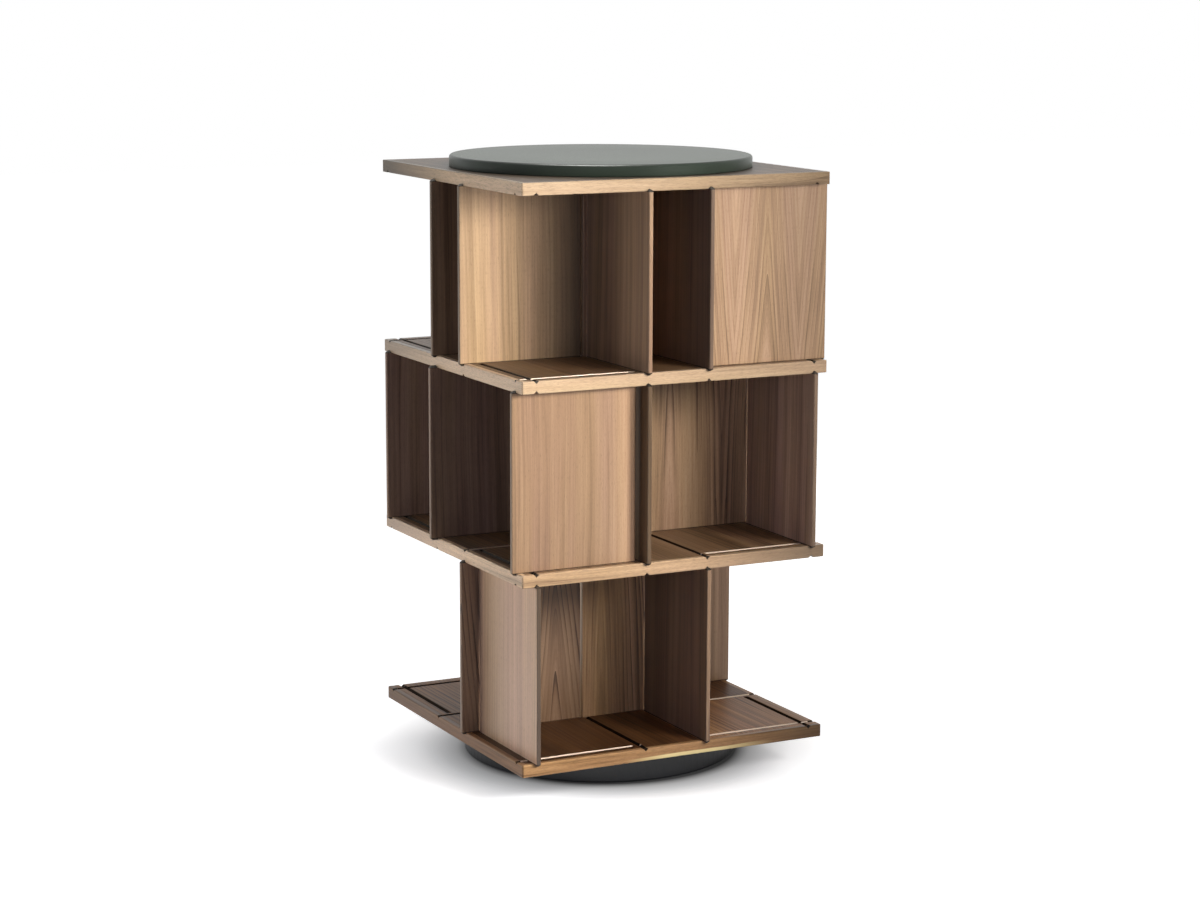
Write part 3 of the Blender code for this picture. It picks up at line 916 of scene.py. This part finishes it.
def metal(name, tone, roughness):
    """Plated or rolled metal with fine scratches and a mottled bloom."""
    shading = Shading(name)
    bloom = shading.noise(shading.place, metal_bloom_scale, detail=4.0)
    scratches = shading.noise(shading.stretch(shading.place, metal_scratches), detail=3.0)
    dull_tone = [metal_dull_share * level for level in tone]
    return shading.finish(
        base_color=shading.ramp(bloom, noise_range, (dull_tone, tone)),
        metallic=1.0,
        roughness=shading.spread(bloom, *noise_range, *roughness),
        normal=shading.bump(scratches, metal_relief),
    )


def fibreboard(name):
    """Bare board: short pale and dark flakes pressed together."""
    shading = Shading(name)
    flakes = shading.noise(shading.place, flake_scale, detail=4.0, roughness=flake_unevenness)
    return shading.finish(
        base_color=shading.ramp(flakes, flake_range, flake_tones),
        roughness=flake_roughness,
        normal=shading.bump(flakes, flake_relief),
    )


def rubber(name):
    """Matt black rubber with a fine moulded texture."""
    shading = Shading(name)
    texture = shading.cells(shading.place, rubber_scale)
    return shading.finish(
        base_color=shading.ramp(texture, rubber_range, rubber_tones),
        roughness=rubber_roughness,
        normal=shading.bump(texture, rubber_relief),
    )


def paint(node_name, material):
    """Give a CAD node one material in all its slots."""
    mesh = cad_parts[node_name].data
    if not mesh.materials:
        mesh.materials.append(material)
    for index in range(len(mesh.materials)):
        mesh.materials[index] = material


def arc(centre, radius, first_degrees, last_degrees):
    """Points on an arc in the plane of a turned profile."""
    points = []
    for step in range(fine_arc_steps + 1):
        share = step / fine_arc_steps
        angle = math.radians(first_degrees + (last_degrees - first_degrees) * share)
        points.append((centre[0] + radius * math.cos(angle), centre[1] + radius * math.sin(angle)))
    return points


def turned_skin(name, profile, thickness):
    """A skin of even thickness, turned from the outline of its outer face."""
    mesh = bpy.data.meshes.new(name)
    shape = bmesh.new()
    outline = [shape.verts.new((radius, 0, height)) for radius, height in profile]
    edges = [shape.edges.new(pair) for pair in zip(outline, outline[1:])]
    bmesh.ops.spin(
        shape,
        geom=outline + edges,
        cent=(0, 0, 0),
        axis=(0, 0, 1),
        angle=math.tau,
        steps=fine_turn_steps,
    )
    bmesh.ops.remove_doubles(shape, verts=shape.verts, dist=skin_weld_distance)
    bmesh.ops.recalc_face_normals(shape, faces=shape.faces)
    shape.to_mesh(mesh)
    shape.free()
    mesh.shade_smooth()
    skin = bpy.data.objects.new(name, mesh)
    bpy.context.scene.collection.objects.link(skin)
    wall = skin.modifiers.new("thickness", "SOLIDIFY")
    wall.thickness = thickness
    wall.offset = -1
    return skin


def add_leather_skin(material):
    """Leather stretched over the round board, rounded at its rim and turned under."""
    low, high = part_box("leather_cover")
    radius = high.x
    rim = (radius - skin_top_radius, high.z - skin_top_radius)
    foot = (radius - skin_foot_radius, low.z + skin_foot_radius)
    profile = [(0, high.z), (radius / 2, high.z - skin_top_dip)]
    profile += arc(rim, skin_top_radius, 90, 0)
    profile += arc(foot, skin_foot_radius, 0, -90)
    skin = turned_skin("pad_skin", profile, skin_thickness)
    skin.data.materials.append(material)
    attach(skin, "carcass")
    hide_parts("leather_cover")


def place_camera():
    """The photograph's view, with upright lines left to converge as a tilted lens does."""
    yaw = math.radians(camera_yaw_degrees)
    pitch = math.radians(camera_pitch_degrees)
    forward = Vector(
        (
            math.sin(yaw) * math.cos(pitch),
            math.cos(yaw) * math.cos(pitch),
            math.sin(pitch),
        )
    )
    camera = bpy.data.objects.new("camera", bpy.data.cameras.new("camera"))
    bpy.context.scene.collection.objects.link(camera)
    camera.data.lens = camera_lens_mm
    camera.data.sensor_width = camera_sensor_mm
    roll = Matrix.Rotation(math.radians(camera_roll_degrees), 4, "Z")
    turn = forward.to_track_quat("-Z", "Y").to_matrix().to_4x4()
    camera.matrix_world = Matrix.Translation(camera_place) @ turn @ roll
    bpy.context.scene.camera = camera


def add_lamp(name, place, width, height, power, colour, aim, spread_degrees, gloss_only=False):
    """A panel that lights surfaces, or one that shows only as a gloss on them."""
    lamp_data = bpy.data.lights.new(name, "AREA")
    lamp_data.shape = "RECTANGLE"
    lamp_data.size = width
    lamp_data.size_y = height
    lamp_data.energy = power
    lamp_data.color = colour
    lamp_data.spread = math.radians(spread_degrees)
    lamp = bpy.data.objects.new(name, lamp_data)
    bpy.context.scene.collection.objects.link(lamp)
    lamp.location = place
    direction = Vector(aim) - Vector(place)
    lamp.rotation_euler = direction.to_track_quat("-Z", "Y").to_euler()
    lamp.visible_camera = False
    lamp.visible_glossy = gloss_only
    lamp.visible_diffuse = not gloss_only


def shown_rays(nodes, links):
    """One where the camera sees a surface directly, in a gloss or through glass."""
    path = nodes.new("ShaderNodeLightPath")
    total = path.outputs["Is Camera Ray"]
    for other in ("Is Glossy Ray", "Is Transmission Ray"):
        most = nodes.new("ShaderNodeMath")
        most.operation = "MAXIMUM"
        links.new(total, most.inputs[0])
        links.new(path.outputs[other], most.inputs[1])
        total = most.outputs[0]
    return total


def light_world():
    """White where it is seen, and dim grey where it only lights."""
    world = bpy.data.worlds.new("studio")
    bpy.context.scene.world = world
    world.use_nodes = True
    nodes = world.node_tree.nodes
    links = world.node_tree.links
    shade = nodes["Background"]
    level = nodes.new("ShaderNodeMapRange")
    links.new(shown_rays(nodes, links), level.inputs["Value"])
    level.inputs["To Min"].default_value = ambient_strength
    level.inputs["To Max"].default_value = background_white
    links.new(level.outputs["Result"], shade.inputs["Strength"])
    shade.inputs["Color"].default_value = (1, 1, 1, 1)


def floor_surface(shading):
    """White where seen, with the cast shadow and a painted contact shadow; grey where it only
    bounces.
    """
    nodes = shading.nodes
    links = shading.links
    reach = nodes.new("ShaderNodeVectorMath")
    reach.operation = "LENGTH"
    from_centre = (-contact_centre[0], -contact_centre[1], 0)
    links.new(shading.stretch(shading.place, (1, 1, 1), from_centre), reach.inputs[0])
    distance = reach.outputs["Value"]
    positions = [place for place, _ in painted_contact_shadow]
    contact = shading.ramp(distance, positions, [grey(level) for _, level in painted_contact_shadow])
    glow = nodes.new("ShaderNodeEmission")
    links.new(contact, glow.inputs["Color"])
    glow_level = shading.spread(
        distance, floor_shadow_start, floor_shadow_end, floor_glow, background_white
    )
    links.new(glow_level, glow.inputs["Strength"])
    seen = nodes.new("ShaderNodeBsdfDiffuse")
    links.new(shading.times(contact, grey(floor_seen_tone)), seen.inputs["Color"])
    unseen = nodes.new("ShaderNodeBsdfDiffuse")
    unseen.inputs["Color"].default_value = (*grey(floor_bounce_tone), 1)
    lit = nodes.new("ShaderNodeAddShader")
    links.new(seen.outputs[0], lit.inputs[0])
    links.new(glow.outputs[0], lit.inputs[1])
    choice = nodes.new("ShaderNodeMixShader")
    links.new(shown_rays(nodes, links), choice.inputs[0])
    links.new(unseen.outputs[0], choice.inputs[1])
    links.new(lit.outputs[0], choice.inputs[2])
    return choice.outputs[0]


def add_floor():
    """A pale sweep that shows white, with the bookcase's cast shadow and a painted contact shadow.
    """
    bpy.ops.mesh.primitive_grid_add(
        x_subdivisions=floor_subdivisions,
        y_subdivisions=floor_subdivisions,
        size=2 * floor_half_side,
    )
    floor = bpy.context.object
    floor.name = "studio_floor"
    shading = Shading("studio_floor")
    shading.nodes.remove(shading.shader)
    output = shading.nodes["Material Output"]
    shading.links.new(floor_surface(shading), output.inputs["Surface"])
    floor.data.materials.append(shading.material)


def finish_walnut():
    """Each board, frame, wall and divider gets walnut with its own figure."""
    for index, name in enumerate(sorted(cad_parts)):
        seed = 1.0 + index
        figure = crown_figures.get(name, plain_figure)
        if name.endswith("_edging"):
            paint(name, walnut(name, "edge", "FRAME", seed, shaded=groove_shade))
        elif name in boards:
            paint(name, walnut(name, "board", "Y", seed, board_figure, groove_shade))
        elif name.startswith("core_wall"):
            grain = "YZ" if name.endswith(("left", "right")) else "XZ"
            paint(name, walnut(name, "core", grain, seed, figure))
        elif name.startswith("divider"):
            grain = "YZ" if divider_arm(name) in ("front", "back") else "XZ"
            paint(name, walnut(name, "divider", grain, seed, figure, seat_shade))


def finish_rest():
    """The pad, the plinth and the mechanism get leather, lacquer, metal, board and rubber."""
    add_leather_skin(leather("leather"))
    paint("plinth_disc", lacquer("black_lacquer"))
    paint("pad_board", fibreboard("pad_board"))
    paint("floor_pad", rubber("floor_rubber"))
    paint("ballast_plate", metal("ballast_iron", iron_tone, iron_roughness))
    steel = metal("steel", steel_tone, steel_roughness)
    for name in steel_pieces:
        paint(name, steel)
    for name in dowels:
        paint(name, walnut(name, "edge", "XZ", dowel_seed))


place_camera()
for lamp_name, lamp in lamps.items():
    add_lamp(lamp_name, **lamp)
light_world()
add_floor()
finish_walnut()
finish_rest()

bpy.context.scene.view_settings.view_transform = "Standard"
